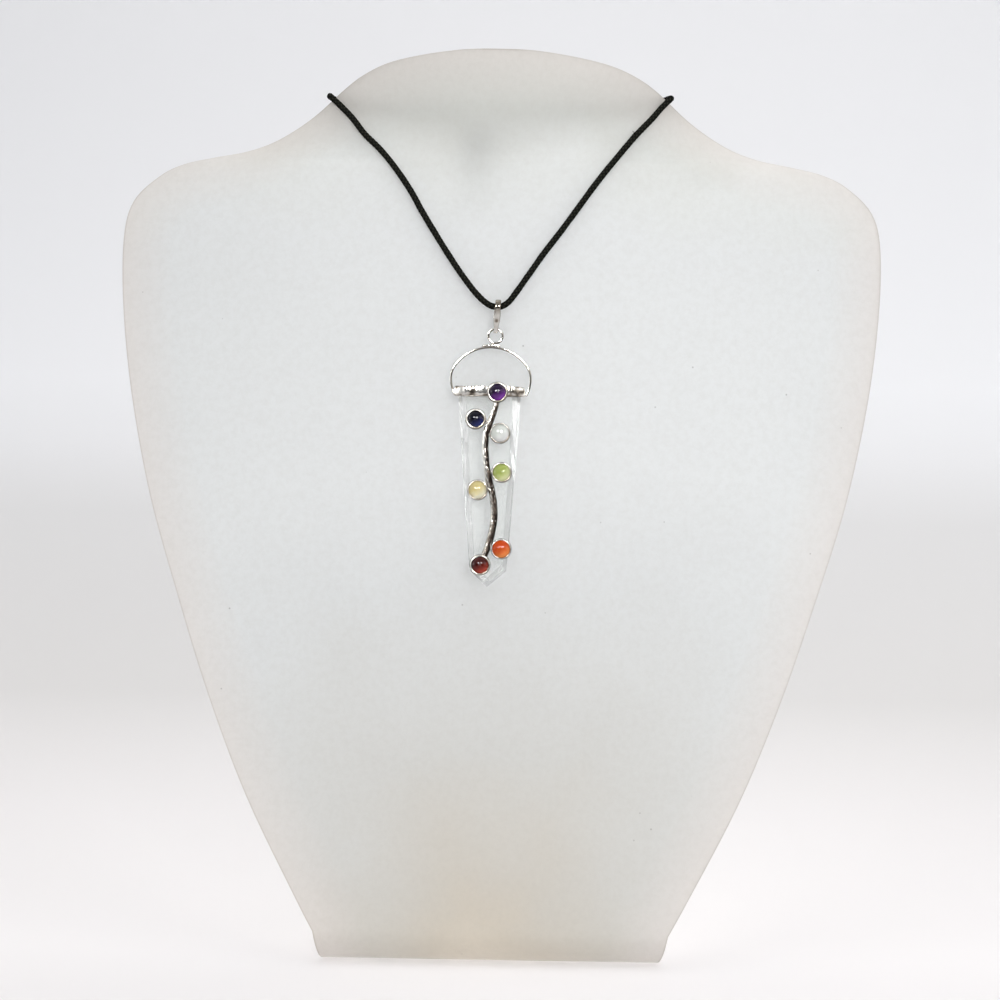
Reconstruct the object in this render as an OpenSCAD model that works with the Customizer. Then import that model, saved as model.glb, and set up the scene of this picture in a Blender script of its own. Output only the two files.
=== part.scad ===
// A clear quartz point in a silver mount, with a silver branch and seven round
// cabochons, hung on a braided cord round a frosted display bust.
// Front faces -Y, up is +Z, and the foot of the bust stands on Z = 0.

/* [Bust] */
// Backward lean of the bust's chest, in degrees
lean = 10; // [8:0.5:12]
// Thickness of the bust's sheet
sheet_t = 2.2; // [1.8:0.1:3]
// Outer radius of the bend between chest and foot
bend_r = 8; // [6:0.5:10]
// Reach of the foot, from the front of the chest to its back edge
foot_reach = 68; // [62:1:80]
// Half width of the foot
foot_half_w = 42.6; // [38:0.1:46]
// Radius of the foot's back corners
foot_corner_r = 8; // [4:1:12]

/* [Quartz point] */
// Full thickness of the quartz, table to table
quartz_t = 5; // [4:0.1:5.6]
// Half height of the narrow girdle round its edge
girdle_half = 0.45; // [0.3:0.05:0.7]
// Width of the bevels beside the tables, at the top
bevel_w = 2.1; // [1.6:0.1:2.4]
// Length of the quartz from its top to the shoulders of the tip
quartz_shoulder = 46.6; // [46:0.1:50]
// Length of the tip below the shoulders
tip_len = 4; // [3.6:0.1:6]

/* [Silver mount] */
// Height of the collar round the top of the quartz
collar_h = 2.4; // [2:0.1:3]
// Thickness of the collar's strip
collar_t = 0.5; // [0.4:0.05:0.7]
// Radius of the round wire of the handle and the ring
wire_r = 0.3; // [0.25:0.01:0.35]
// Radius of the hanging ring, to the middle of its wire
ring_r = 1.8; // [1.6:0.05:2]
// Half width of the handle at its widest, to the middle of its wire
handle_half_w = 10.1; // [9.9:0.1:10.2]
// Half width of the branch
branch_half_w = 0.85; // [0.8:0.01:0.95]
// Height of the branch above the quartz
branch_h = 1.25; // [1:0.05:1.4]

/* [Cabochons] */
// Radius of each cabochon
stone_r = 2.1; // [1.9:0.05:2.15]
// Height of the straight side below the dome
stone_side = 0.7; // [0.5:0.05:0.9]
// Height of the dome
dome_h = 1.5; // [1.3:0.05:1.7]
// Outer radius of each bezel cup
cup_r = 2.55; // [2.5:0.01:2.7]
// Height of each bezel cup
cup_h = 1.55; // [1.4:0.05:1.7]

/* [Cord] */
// Diameter of the braided cord
cord_d = 1.6; // [1.4:0.05:1.6]

/* [Hidden] */
$fn = 48;

// Where the leaning frame of the chest stands: its height axis runs up the chest's
// front face, its depth axis points back, and its origin is on the floor.
bend_s = bend_r * (1 + sin(lean)) / cos(lean);
front_y = bend_s - bend_r;
face_y = -(front_y + foot_reach) / 2;

// The hanging pendant: place of the ring's centre, across, forward and up the face
ring_x = -1.3;
pendant_depth = 3.4;
ring_s = 161.8;
// Where the bail hangs on the cord: its middle, across and up the face
bail_x = -1.05;
cord_s = 169.2;
// Running gap between pieces that touch on the real thing
gap = 0.1;

// The bust's outline and form, one row for each height up the face
// [height, half width, set back of the middle, bow: depth per squared half width in thousandths,
// shift of the middle to the side]
BUST = [
    [bend_s, 45.4, 0, 0, 0],
    [18.2, 50.1, 0, 0.15, 0],
    [43.5, 63.1, 0, 0.55, 0],
    [68.8, 73.5, 0, 0.9, 0],
    [94.4, 82.3, 0, 1.15, 0],
    [120.2, 90.3, 0, 1.3, 0],
    [146.3, 95.9, 0, 1.45, 0],
    [169, 98.8, 0, 1.6, 0],
    [187, 99.1, 0, 1.65, 0],
    [196.8, 96.7, 0, 1.75, 0],
    [203.4, 89.9, 0, 1.95, 0],
    [206.6, 83.3, 0, 2.2, -0.1],
    [208.4, 75.2, 0, 2.6, -0.2],
    [210, 66.2, -0.1, 3.1, -0.3],
    [213, 58.2, -0.3, 3.9, -0.4],
    [218.8, 49, -0.8, 5.1, -0.5],
    [225.8, 40.3, -1.8, 5.5, -0.6],
    [229.1, 35, -2.3, 5.5, -0.8],
    [231.6, 28.6, -2.65, 5.5, -1.1],
    [233.2, 20.4, -2.9, 5.5, -1.3],
    [234.4, 10.4, -3.1, 5.5, -1.4],
    [234.7, 4, -3.2, 5.5, -1.4]
];
BUST_STEPS = 2;
BUST_COLUMNS = 12;
BEND_ROWS = 8;
CORNER_ROWS = 4;

// Facets down each side of the quartz: depths below its top
GIRDLE_DEPTHS = [0, 6, 12, 18.5, 25, 31.5, 38, 43, quartz_shoulder];
TABLE_DEPTHS = [0, 3.4, 9, 15.2, 21.8, 28.4, 35, 40.6, quartz_shoulder - 1.6];
quartz_x = -1.2;
quartz_top = -13;
quartz_top_half = 8;
quartz_end_half = 4.6;
quartz_bulge = 0.25;
// Share of their width that the bevels lose by the shoulders
bevel_taper = 0.35;
// How far the shoulders and the tip lie to the side of the quartz's top
shoulder_shift = 0.35;
tip_x = 0.15;
tip_inset = 2.2;
quartz_half_t = quartz_t / 2;

// The branch's middle line on the quartz, in the pendant's frame: [across, up]
BRANCH = [
    [0.9, -16.2], [-0.45, -20.7], [-1.75, -24.1], [-2.05, -27.5], [-1.85, -31], [-1.2, -35.6],
    [-0.2, -39.4], [0.45, -43.5], [0.35, -47.5], [-0.55, -52], [-1.8, -55.6]
];
BRANCH_STEPS = 5;
// The branch's section: [share of half width, share of height]
BRANCH_SECTION = [
    [-0.8, 0], [-1, 0.32], [-0.78, 0.78], [-0.3, 1],
    [0.3, 1], [0.78, 0.78], [1, 0.32], [0.8, 0]
];
// The hammered look: share that the section swells, and the turn from ring to ring and point to point
BRANCH_LUMPS = 0.08;
LUMP_TURNS = [137, 95];
// Share of its full width that the branch has at its top end
branch_top_share = 0.8;
// The branch lies this much above the plane of the cups, and its solder starts this much higher
branch_lift = 0.04;
solder_lift = 0.3;

// The seven cabochons: [name, across, up, 1 where it sits on the collar]
STONES = [
    ["amethyst_cabochon", 0.8, -14.4, 1],
    ["iolite_cabochon", -4.6, -21.2, 0],
    ["moonstone_cabochon", 1.6, -24.7, 0],
    ["peridot_cabochon", 2.2, -34.6, 0],
    ["citrine_cabochon", -3.8, -39.1, 0],
    ["carnelian_cabochon", 2.4, -53.9, 0],
    ["garnet_cabochon", -2.85, -58, 0]
];
STONE_COLOURS = ["indigo", "midnightblue", "ghostwhite", "yellowgreen", "khaki", "orangered", "maroon"];
// Beads of solder between branch and cups: [across, up]
SOLDER = [[-1.95, -21.9], [-1, -25], [-0.4, -34.4], [-1.2, -38.7], [-0.25, -53.3], [-2, -55.9]];
solder_r = 0.55;
solder_h = 0.8;
cup_floor = 0.4;
cup_wall_gap = 0.05;
lip_h = 0.45;
lip_lean = 0.15;

// How much further the collar reaches at its two ends
collar_ends = 0.4;
// The handle: arcs that meet in line, and the bar that joins it to the ring
handle_x = -1;
handle_wide_z = -10.85;
handle_top_z = -2.85;
handle_end_z = -15.1;
handle_side_r = 6;
handle_low_r = 8.5;
HANDLE_SIDES = 10;
bar_len = 4.7;
bar_x = -1;
bar_z = -2.35;

// The bail: its loop seen from the side, and its outline from the front
bail_top_wall = 0.75;
bail_foot_wall = 0.5;
bail_top_r = 1.35;
bail_foot_r = 0.6;
bail_top_s = cord_s - 0.25;
bail_foot_s = ring_s + ring_r - 0.05;
bail_w = 3;
// [height above the foot loop, half width]
BAIL_OUTLINE = [[-1.2, 0.56], [0.6, 0.64], [2.6, 0.88], [4.1, 0.84], [5.6, 0.68], [7.6, 0.8]];

// The cord's route in the leaning frame: [across, back, up], from one end to the other
ROUTE = [
    [-7.55, 17.6, 196.2], [-7.55, 16.6, 201], [-7.55, 15.6, 206], [-7.55, 14.4, 214], [-8.6, 14.1, 216.6],
    [-12, 13.8, 218.6], [-18, 13.7, 219.8], [-26, 13.5, 220.7], [-34, 13.4, 221.6], [-39.6, 13.2, 222.5],
    [-43, 12.3, 223.2], [-45, 10.3, 223.9], [-44.9, 8, 223.7], [-42.5, 6.8, 221.4],
    [-39.3, 5.7, 218.1], [-35.7, 3.7, 213.5], [-31.9, 1.9, 209.7], [-28.1, 0.6, 205.2],
    [-23.9, 0, 199.3], [-20.3, -0.3, 193.1], [-16.2, -0.6, 186.5], [-11.6, -1, 179.5], [-8, -1.6, 174.6],
    [-5.9, -2.3, 172.1], [-4.2, -2.9, 170.5], [-2.6, -3.3, 169.5], [-1.05, -3.4, 169.2], [0.5, -3.3, 169.5],
    [2.1, -3, 170.7], [4, -2.4, 173.3], [6.5, -1.8, 177], [10.4, -1.1, 182.8], [15.2, -0.8, 189.3],
    [19.6, -0.4, 195.5], [24.1, 0, 201.9], [28.5, 0.9, 207.6], [32.9, 2.9, 213.2], [35.5, 4.2, 216.2],
    [38.1, 5.6, 219.1], [40.3, 6.4, 221.8], [42.6, 7.2, 224.3], [42.9, 9.3, 224.9], [41.7, 11.3, 224.8],
    [39, 12.9, 224], [34, 13.4, 223.2], [24, 13.6, 221.8], [12, 13.7, 220.4], [2, 13.8, 219],
    [-2.6, 13.9, 217.9], [-5, 14.1, 216.2], [-5.65, 14.4, 214], [-5.65, 15.6, 206], [-5.6, 16.4, 201.5],
    [-5.5, 17.1, 197]
];
CORD_SIDES = 8;

// The wrapped knot that ties the two ends: turns of cord round both strands
KNOT_TURNS = 4;
knot_turn_h = 1.7;
knot_x = -6.6;
knot_y = 15;
knot_s = 210;
knot_tilt = 8.5;
knot_wall = 0.9;
wrap_wall = 1.5;
wrap_inset = 0.25;
// Half the distance between the two strands in the knot
strand_offset = 0.95;

// One value of a Catmull-Rom curve between b and c, u from 0 to 1
function between(a, b, c, d, u) =
    0.5 * (2 * b + (c - a) * u + (2 * a - 5 * b + 4 * c - d) * u * u + (3 * b - a - 3 * c + d) * u * u * u);
// A table with steps - 1 rows added in each span, on a smooth curve through its rows
function smoothed(t, steps) = [
    for (i = [0:len(t) - 2], k = [0:steps - 1])
        between(t[max(i - 1, 0)], t[i], t[i + 1], t[min(i + 2, len(t) - 1)], k / steps),
    t[len(t) - 1]
];
function unit(v) = v / norm(v);
// Faces of a tube of rings, each of n points, with both ends closed
function tube_faces(rings, n) = concat(
    [[for (j = [0:n - 1]) j]],
    [for (i = [0:rings - 2], j = [0:n - 1]) each [
        [i * n + j, (i + 1) * n + j, (i + 1) * n + (j + 1) % n],
        [i * n + j, (i + 1) * n + (j + 1) % n, i * n + (j + 1) % n]
    ]],
    [[for (j = [n - 1:-1:0]) (rings - 1) * n + j]]
);

// A direction carried along a line's ways, turned only as far as the line turns
function carried(ways, side, i = 0) = i == len(ways) ? [] :
    let (s = unit(side - (side * ways[i]) * ways[i])) concat([s], carried(ways, s, i + 1));
// A way that no line here starts along: the first ring's points are set out from it
ASKEW = [0.3, 1, 0.2];
// A tube along a line of points, with each ring square to the way the line runs there
module tube(line, r, sides) {
    last = len(line) - 1;
    ways = [for (i = [0:last]) unit(line[min(i + 1, last)] - line[max(i - 1, 0)])];
    across = carried(ways, cross(ways[0], ASKEW));
    points = [for (i = [0:last]) let (up = cross(ways[i], across[i]))
        for (j = [0:sides - 1]) let (turn = 360 * j / sides)
            line[i] + r * (cos(turn) * across[i] + sin(turn) * up)];
    polyhedron(points, tube_faces(last + 1, sides));
}

// Children are drawn in the leaning frame of the chest's face
module on_face() {
    translate([0, face_y, 0]) rotate([-lean, 0, 0]) children();
}
// Children are drawn in the pendant's frame, with its origin in the middle of the ring
module on_pendant() {
    on_face() translate([ring_x, -pendant_depth, ring_s]) children();
}
// Children are drawn upright and turned to face the front, standing on a plane at this depth
module facing_front(x, depth, z) {
    translate([x, depth, z]) rotate([90, 0, 0]) children();
}

// A row of the sheet: [half width, shift, bow, its front [y, z], the way to its back [y, z]]
function foot_row(turn) = [
    foot_half_w - foot_corner_r * (1 - cos(turn)), 0, 0,
    [face_y + foot_reach - foot_corner_r * (1 - sin(turn)), 0], [0, 1]
];
function bend_row(turn) = [
    foot_half_w + (BUST[0][1] - foot_half_w) * (1 - turn / (90 + lean)), 0, 0,
    [face_y + front_y + bend_r - bend_r * cos(turn - lean), bend_r - bend_r * sin(turn - lean)],
    [cos(turn - lean), sin(turn - lean)]
];
function chest_row(r) = [
    r[1], r[4], r[3] / 1000,
    [face_y + r[2] * cos(lean) + r[0] * sin(lean), r[0] * cos(lean) - r[2] * sin(lean)],
    [cos(lean), -sin(lean)]
];
function sheet_rows() = concat(
    [for (i = [CORNER_ROWS:-1:0]) foot_row(90 * i / CORNER_ROWS)],
    [for (i = [BEND_ROWS:-1:1]) bend_row((90 + lean) * i / BEND_ROWS)],
    [for (r = smoothed(BUST, BUST_STEPS)) chest_row(r)]
);
// The sheet's front point and back point at a share of its half width
function front_point(r, v) = let (x = r[0] * v, p = r[3] + r[2] * x * x * r[4]) [r[1] + x, p[0], p[1]];
function back_point(r, v) = let (tilt = 2 * r[2] * r[0] * v)
    front_point(r, v) + sheet_t / sqrt(1 + tilt * tilt) * [-tilt, r[4][0], r[4][1]];

// The whole bust is one bent sheet: a loop of points round each row
module bust_stand() {
    rows = sheet_rows();
    m = BUST_COLUMNS;
    points = [for (r = rows) each concat(
        [for (j = [0:m]) front_point(r, 2 * j / m - 1)],
        [for (j = [m:-1:0]) back_point(r, 2 * j / m - 1)]
    )];
    n = 2 * (m + 1);
    last = (len(rows) - 1) * n;
    sides = [for (i = [0:len(rows) - 2], j = [0:n - 1]) each [
        [i * n + j, (i + 1) * n + (j + 1) % n, i * n + (j + 1) % n],
        [i * n + j, (i + 1) * n + j, (i + 1) * n + (j + 1) % n]
    ]];
    ends = [for (j = [0:m - 1]) each [
        [j, j + 1, n - 2 - j, n - 1 - j],
        [last + j, last + n - 1 - j, last + n - 2 - j, last + j + 1]
    ]];
    color("whitesmoke") polyhedron(points, concat(sides, ends));
}

module cord() {
    color("black") on_face() tube(ROUTE, cord_d / 2, CORD_SIDES);
}

// A stadium: the outline round two strands that lie side by side
module strand_pair(r) {
    for (side = [-1, 1]) translate([side * strand_offset, 0]) circle(r);
    square([2 * strand_offset, 2 * r], center = true);
}
module cord_knot() {
    inside = cord_d / 2 + gap;
    height = KNOT_TURNS * knot_turn_h;
    color("black") on_face() translate([knot_x, knot_y, knot_s]) rotate([knot_tilt, 0, 0])
        translate([0, 0, -height / 2]) difference() {
            union() {
                linear_extrude(height) strand_pair(inside + knot_wall);
                for (i = [0:KNOT_TURNS - 1])
                    translate([0, 0, i * knot_turn_h + wrap_inset])
                        linear_extrude(knot_turn_h - 2 * wrap_inset) strand_pair(inside + wrap_wall);
            }
            translate([0, 0, -1]) linear_extrude(height + 2) strand_pair(inside);
        }
}

// A round top and a round foot joined by the lines that touch both
module drop_shape(top_r, foot_r) {
    reach = bail_top_s - bail_foot_s;
    tilt = asin((top_r - foot_r) / reach);
    circle(foot_r);
    translate([0, reach]) circle(top_r);
    polygon([
        [foot_r * cos(tilt), -foot_r * sin(tilt)], [top_r * cos(tilt), reach - top_r * sin(tilt)],
        [-top_r * cos(tilt), reach - top_r * sin(tilt)], [-foot_r * cos(tilt), -foot_r * sin(tilt)]
    ]);
}
module bail() {
    color("silver") on_face() translate([bail_x, -pendant_depth, bail_foot_s]) intersection() {
        rotate([90, 0, 90]) linear_extrude(bail_w, center = true) difference() {
            drop_shape(bail_top_r + bail_top_wall, bail_foot_r + bail_foot_wall);
            drop_shape(bail_top_r, bail_foot_r);
        }
        rotate([90, 0, 0]) linear_extrude(2 * bail_w, center = true) polygon(concat(
            [for (p = BAIL_OUTLINE) [p[1], p[0]]],
            [for (i = [len(BAIL_OUTLINE) - 1:-1:0]) [-BAIL_OUTLINE[i][1], BAIL_OUTLINE[i][0]]]
        ));
    }
}

// The quartz seen from above, grown by a margin all round and by more at its two ends
module quartz_section(margin, ends) {
    w = quartz_top_half + margin + ends;
    t = quartz_half_t + margin;
    a = quartz_top_half - bevel_w + margin / 2;
    g = girdle_half + margin / 2;
    polygon([[w, -g], [w, g], [a, t], [-a, t], [-w, g], [-w, -g], [-a, -t], [a, -t]]);
}
module collar() {
    translate([quartz_x, 0, quartz_top + gap - collar_h]) linear_extrude(collar_h) difference() {
        quartz_section(gap + collar_t, collar_ends);
        quartz_section(gap, 0);
    }
}

// Points along an arc in the plane of the handle
function arc_points(x, z, r, from, to, steps) = [
    for (i = [0:steps]) let (turn = from + (to - from) * i / steps) [x + r * cos(turn), 0, z + r * sin(turn)]
];
function without_first(list) = [for (i = [1:len(list) - 1]) list[i]];
// The handle's right half, from its soldered end up to the middle of the crown
function handle_half() = let (
    side_x = handle_half_w - handle_side_r,
    rise = handle_top_z - handle_wide_z,
    crown_r = (side_x * side_x + rise * rise - handle_side_r * handle_side_r) / (2 * (rise - handle_side_r)),
    crown_z = handle_top_z - crown_r,
    meet = atan2(handle_wide_z - crown_z, side_x),
    low = asin((handle_wide_z - handle_end_z) / handle_low_r)
) concat(
    arc_points(handle_half_w - handle_low_r, handle_wide_z, handle_low_r, -low, 0, 4),
    without_first(arc_points(side_x, handle_wide_z, handle_side_r, 0, meet, 6)),
    without_first(arc_points(0, crown_z, crown_r, meet, 90, 8))
);
module handle() {
    half = handle_half();
    translate([handle_x, 0, 0]) tube(
        concat(half, [for (i = [len(half) - 2:-1:0]) [-half[i][0], 0, half[i][2]]]), wire_r, HANDLE_SIDES);
}
module ring_and_bar() {
    rotate([90, 0, 0]) rotate_extrude() translate([ring_r, 0]) circle(wire_r);
    translate([bar_x - bar_len / 2, 0, bar_z]) rotate([0, 90, 0]) cylinder(r = wire_r, h = bar_len);
}

// The branch: a hammered half-round wire that lies on the quartz
module branch() {
    line = smoothed(BRANCH, BRANCH_STEPS);
    last = len(line) - 1;
    n = len(BRANCH_SECTION);
    points = [for (i = [0:last]) let (
        way = unit(line[min(i + 1, last)] - line[max(i - 1, 0)]), side = [-way[1], way[0]]
    ) for (j = [0:n - 1]) let (
        lump = 1 + BRANCH_LUMPS * sin(LUMP_TURNS * [i, j]),
        grown = min(1, branch_top_share + i / last),
        across = -BRANCH_SECTION[j][0] * branch_half_w * lump * grown,
        height = BRANCH_SECTION[j][1] * branch_h * lump
    ) [line[i][0] + side[0] * across, -quartz_half_t - gap - branch_lift - height, line[i][1] + side[1] * across]];
    polyhedron(points, tube_faces(last + 1, n));
}

// The depth of the plane that a cabochon's cup stands on
function cup_depth(stone) = -quartz_half_t - gap - stone[3] * (collar_t - 0.05);
module cup() {
    rotate_extrude() polygon([[0, 0], [cup_r, 0], [cup_r, cup_h - lip_h], [cup_r - 0.1, cup_h], [0, cup_h]]);
}
// The room inside a cup, with the lip that leans in over the stone
module seat() {
    inner = stone_r + cup_wall_gap;
    rotate_extrude() polygon([
        [0, cup_floor], [inner, cup_floor], [inner, cup_h - lip_h], [inner - lip_lean, cup_h],
        [inner - lip_lean, cup_h + 1], [0, cup_h + 1]
    ]);
}
module silver_mount() {
    color("silver") on_pendant() difference() {
        union() {
            collar();
            handle();
            ring_and_bar();
            branch();
            for (s = STONES) facing_front(s[1], cup_depth(s), s[2]) cup();
            for (p = SOLDER)
                facing_front(p[0], -quartz_half_t - gap - solder_lift, p[1]) cylinder(r = solder_r, h = solder_h);
        }
        for (s = STONES) facing_front(s[1], cup_depth(s), s[2]) seat();
    }
}

// Half width of the quartz at a depth below its top
function quartz_half(d) = quartz_top_half + (quartz_end_half - quartz_top_half) * d / quartz_shoulder
    + quartz_bulge * sin(180 * d / quartz_shoulder);
function table_half(d) = quartz_half(d) - bevel_w * (1 - bevel_taper * d / quartz_shoulder);
// One level of the quartz, with its girdle at one depth and its tables at another: eight
// points round it, from the front right
function quartz_level(g, d) = let (a = table_half(d), w = quartz_half(g),
    at = shoulder_shift * d / quartz_shoulder, wt = shoulder_shift * g / quartz_shoulder) [
    [at + a, -quartz_half_t, -d], [wt + w, -girdle_half, -g],
    [wt + w, girdle_half, -g], [at + a, quartz_half_t, -d],
    [at - a, quartz_half_t, -d], [wt - w, girdle_half, -g],
    [wt - w, -girdle_half, -g], [at - a, -quartz_half_t, -d]
];
function tip_level() = let (end = quartz_shoulder + tip_len) [
    [tip_x, -quartz_half_t, tip_inset - end], [tip_x, -girdle_half, -end],
    [tip_x, girdle_half, -end], [tip_x, quartz_half_t, tip_inset - end]
];
module quartz_point() {
    n = 8;
    levels = len(GIRDLE_DEPTHS);
    points = concat(
        [for (i = [0:levels - 1]) each quartz_level(GIRDLE_DEPTHS[i], TABLE_DEPTHS[i])], tip_level());
    sides = [for (i = [0:levels - 2], j = [0:n - 1]) let (
        a = i * n + j, b = i * n + (j + 1) % n, c = a + n, d = b + n
    ) each (j % 4 == 0 || j % 4 == 3 ? [[a, d, c], [a, b, d]] : [[a, b, c], [b, d, c]])];
    last = (levels - 1) * n;
    tip = levels * n;
    ends = [
        [for (j = [n - 1:-1:0]) j],
        [last, last + 1, tip + 1, tip], [last + 1, last + 2, tip + 2, tip + 1],
        [last + 2, last + 3, tip + 3, tip + 2], [last + 3, last + 4, tip + 3],
        [last + 4, last + 5, tip + 2, tip + 3], [last + 5, last + 6, tip + 1, tip + 2],
        [last + 6, last + 7, tip, tip + 1], [last + 7, last, tip]
    ];
    color("aliceblue", 0.4) on_pendant() translate([quartz_x, 0, quartz_top])
        polyhedron(points, concat(sides, ends));
}

// A low dome on a short straight side, standing in its cup
module cabochon(i) {
    dome_r = (stone_r * stone_r + dome_h * dome_h) / (2 * dome_h);
    s = STONES[i];
    color(STONE_COLOURS[i]) on_pendant() facing_front(s[1], cup_depth(s), s[2])
        translate([0, 0, cup_floor + 0.03]) intersection() {
            cylinder(r = stone_r, h = stone_side + dome_h);
            translate([0, 0, stone_side + dome_h - dome_r]) sphere(dome_r);
        }
}

bust_stand();
cord();
cord_knot();
bail();
silver_mount();
quartz_point();
for (i = [0:len(STONES) - 1])
    cabochon(i);
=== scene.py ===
# %% [markdown]
# A quartz pendant on a frosted neck bust
#
# This lesson dresses a finished CAD model of a hand-made necklace: a clear quartz point in a
# silver collar, a darkened silver branch with seven round stones lying over it, and a braided
# black cord that hangs the pendant on a display bust of frosted acrylic. The CAD model is a
# fixed frame. Every piece made here is a surface worked out with numpy in that frame, in metres.

# %% The tools and the fixed frame
import bmesh
import bpy
import numpy as np
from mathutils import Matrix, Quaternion, Vector


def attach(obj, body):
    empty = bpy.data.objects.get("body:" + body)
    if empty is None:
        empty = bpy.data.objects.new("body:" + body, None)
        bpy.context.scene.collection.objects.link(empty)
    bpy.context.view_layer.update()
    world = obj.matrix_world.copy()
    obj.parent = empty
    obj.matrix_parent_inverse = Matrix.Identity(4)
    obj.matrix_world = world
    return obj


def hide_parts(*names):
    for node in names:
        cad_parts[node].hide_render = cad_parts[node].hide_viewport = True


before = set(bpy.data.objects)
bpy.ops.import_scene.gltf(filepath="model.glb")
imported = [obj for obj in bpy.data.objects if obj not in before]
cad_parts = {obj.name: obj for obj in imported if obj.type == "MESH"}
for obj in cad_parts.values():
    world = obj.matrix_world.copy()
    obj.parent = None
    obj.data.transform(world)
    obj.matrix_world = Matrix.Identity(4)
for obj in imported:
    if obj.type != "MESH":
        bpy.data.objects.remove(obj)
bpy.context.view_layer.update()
MM = 0.001

# %% [markdown]
# Two frames of reference
#
# The bust's chest leans back ten degrees, and what hangs on it is easiest to describe along
# that slope. The leaning frame's axes run across, back from the face and up the face. The
# pendant's frame is the same with its origin in the middle of the ring that it hangs by. Both
# are in millimetres, as a jeweller measures.

# %% The leaning frame and the pendant's frame
LEAN = np.radians(10)
FACE_Y = -34.767
RING = np.array([-1.3, -3.4, 161.8])


def coords(*parts):
    """Coordinates, each a number or an array, put together as points."""
    return np.stack(np.broadcast_arrays(*parts), -1)


def on_face(points):
    """Leaning frame to model frame: turned by the lean about the across axis, then moved to
    the foot of the face. Millimetres in, metres out."""
    across, back, up = np.moveaxis(np.asarray(points, float), -1, 0)
    return MM * coords(across, FACE_Y + back * np.cos(LEAN) + up * np.sin(LEAN),
                       up * np.cos(LEAN) - back * np.sin(LEAN))


def on_pendant(points):
    """Pendant's frame to model frame: the same turn, from the middle of the ring."""
    return on_face(np.asarray(points, float) + RING)


print("middle of the ring:", np.round(on_pendant([0, 0, 0]), 4))

# %% [markdown]
# The camera
#
# The photo looks straight at the bust's face from nearby: the lens stands 600 mm out along the
# face's own normal, ten degrees above the horizon. The picture is 255 mm wide at the face,
# which gives the focal length, and it is rolled by one degree.

# %% The camera
AIM = on_face([0.61, 0, 120.25])
OUT = np.array([0, -np.cos(LEAN), np.sin(LEAN)])
DISTANCE, WIDTH, SENSOR, ROLL = 0.6, 0.255, 36, np.radians(1)


def put(name, data):
    """An object that holds these data, linked to the scene."""
    made = bpy.data.objects.new(name, data)
    bpy.context.scene.collection.objects.link(made)
    return made


def look_against(thing, place, out, roll=0):
    """Puts a camera or a lamp in place and makes it look against the direction out, with its
    own top up, and then turned by the roll."""
    thing.location = place
    thing.rotation_mode = "QUATERNION"
    thing.rotation_quaternion = Vector(out).to_track_quat("Z", "Y") @ Quaternion((0, 0, 1), roll)


camera = put("camera", bpy.data.cameras.new("camera"))
look_against(camera, AIM + DISTANCE * OUT, OUT, ROLL)
camera.data.sensor_width = SENSOR
camera.data.lens = SENSOR * DISTANCE / WIDTH
bpy.context.scene.camera = camera
print("lens", round(camera.data.lens, 1), "mm at", np.round(camera.location, 3))

# %% [markdown]
# Surfaces from arrays
#
# Almost every piece is a grid: points that depend on two parameters, with a quad between each
# four neighbours. A tube closes its grid in one direction, and a ring in both. A finished
# piece also says which body carries it, which CAD node it stands for and which finish it has.

# %% Grids and objects
def grid_faces(shape, rows_close=False, columns_close=True):
    """A quad between each four neighbours of a grid of points, or of each grid where there are
    several. A closed direction joins its last row to its first."""
    *several, rows, columns = shape
    i, j = np.meshgrid(np.arange(rows if rows_close else rows - 1),
                       np.arange(columns if columns_close else columns - 1), indexing="ij")
    down, right = (i + 1) % rows, (j + 1) % columns
    corners = [i * columns + j, i * columns + right, down * columns + right, down * columns + j]
    one = np.stack(corners, -1).reshape(-1, 4)
    return np.vstack([one + k * rows * columns for k in range(np.prod(several, dtype=int))])


def make_surface(name, points, faces, material, marks=None):
    """One smooth mesh object from arrays. marks are values for each point, kept as attributes
    that a material can read."""
    mesh = bpy.data.meshes.new(name)
    mesh.from_pydata(points.reshape(-1, 3).tolist(), [], faces.tolist())
    mesh.polygons.foreach_set("use_smooth", np.full(len(mesh.polygons), True))
    for key, values in (marks or {}).items():
        attribute = mesh.attributes.new(key, "FLOAT", "POINT")
        attribute.data.foreach_set("value", values.astype(np.float32).ravel())
    mesh.materials.append(material)
    return put(name, mesh)


def make_piece(name, points, material, body, node, marks=None, ring=False, faces=None):
    """A closed surface: a tube along the grid of points, a ring, or these faces. Points in one
    place are merged and the faces turned outwards. It rides on a body, and stands for a CAD
    node or a part of one."""
    if faces is None:
        faces = grid_faces(points.shape[:-1], rows_close=ring)
    piece = make_surface(name, points, faces, material, marks)
    mesh, work = piece.data, bmesh.new()
    work.from_mesh(mesh)
    bmesh.ops.remove_doubles(work, verts=work.verts, dist=1e-6)
    bmesh.ops.recalc_face_normals(work, faces=work.faces)
    work.to_mesh(mesh)
    work.free()
    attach(piece, body)
    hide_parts(node)
    print(name, len(mesh.vertices), "points,", len(mesh.polygons), "faces")
    return piece


# %% [markdown]
# Paths and sweeps
#
# A cord, a wire and a branch are each a profile carried along a path: a smooth curve through a
# few points, walked at even steps. At each step two directions stand square to the way it
# runs, and the profile is drawn in them.

# %% Smooth curves
def catmull_rom(p, steps):
    """A smooth curve through all points but the first and the last, which only lead it in and
    out. From b to c, with a before them and d after, it is half of
    2b + (c - a)u + (2a - 5b + 4c - d)u^2 + (3b - a - 3c + d)u^3, for u from 0 to 1."""
    a, b, c, d = (p[k:len(p) - 3 + k, None] for k in range(4))
    u = np.linspace(0, 1, steps, endpoint=False)[:, None]
    curve = 0.5 * (2 * b + (c - a) * u + (2 * a - 5 * b + 4 * c - d) * u ** 2
                   + (3 * b - a - 3 * c + d) * u ** 3)
    return np.vstack([curve.reshape(-1, p.shape[1]), p[-2]])


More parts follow.
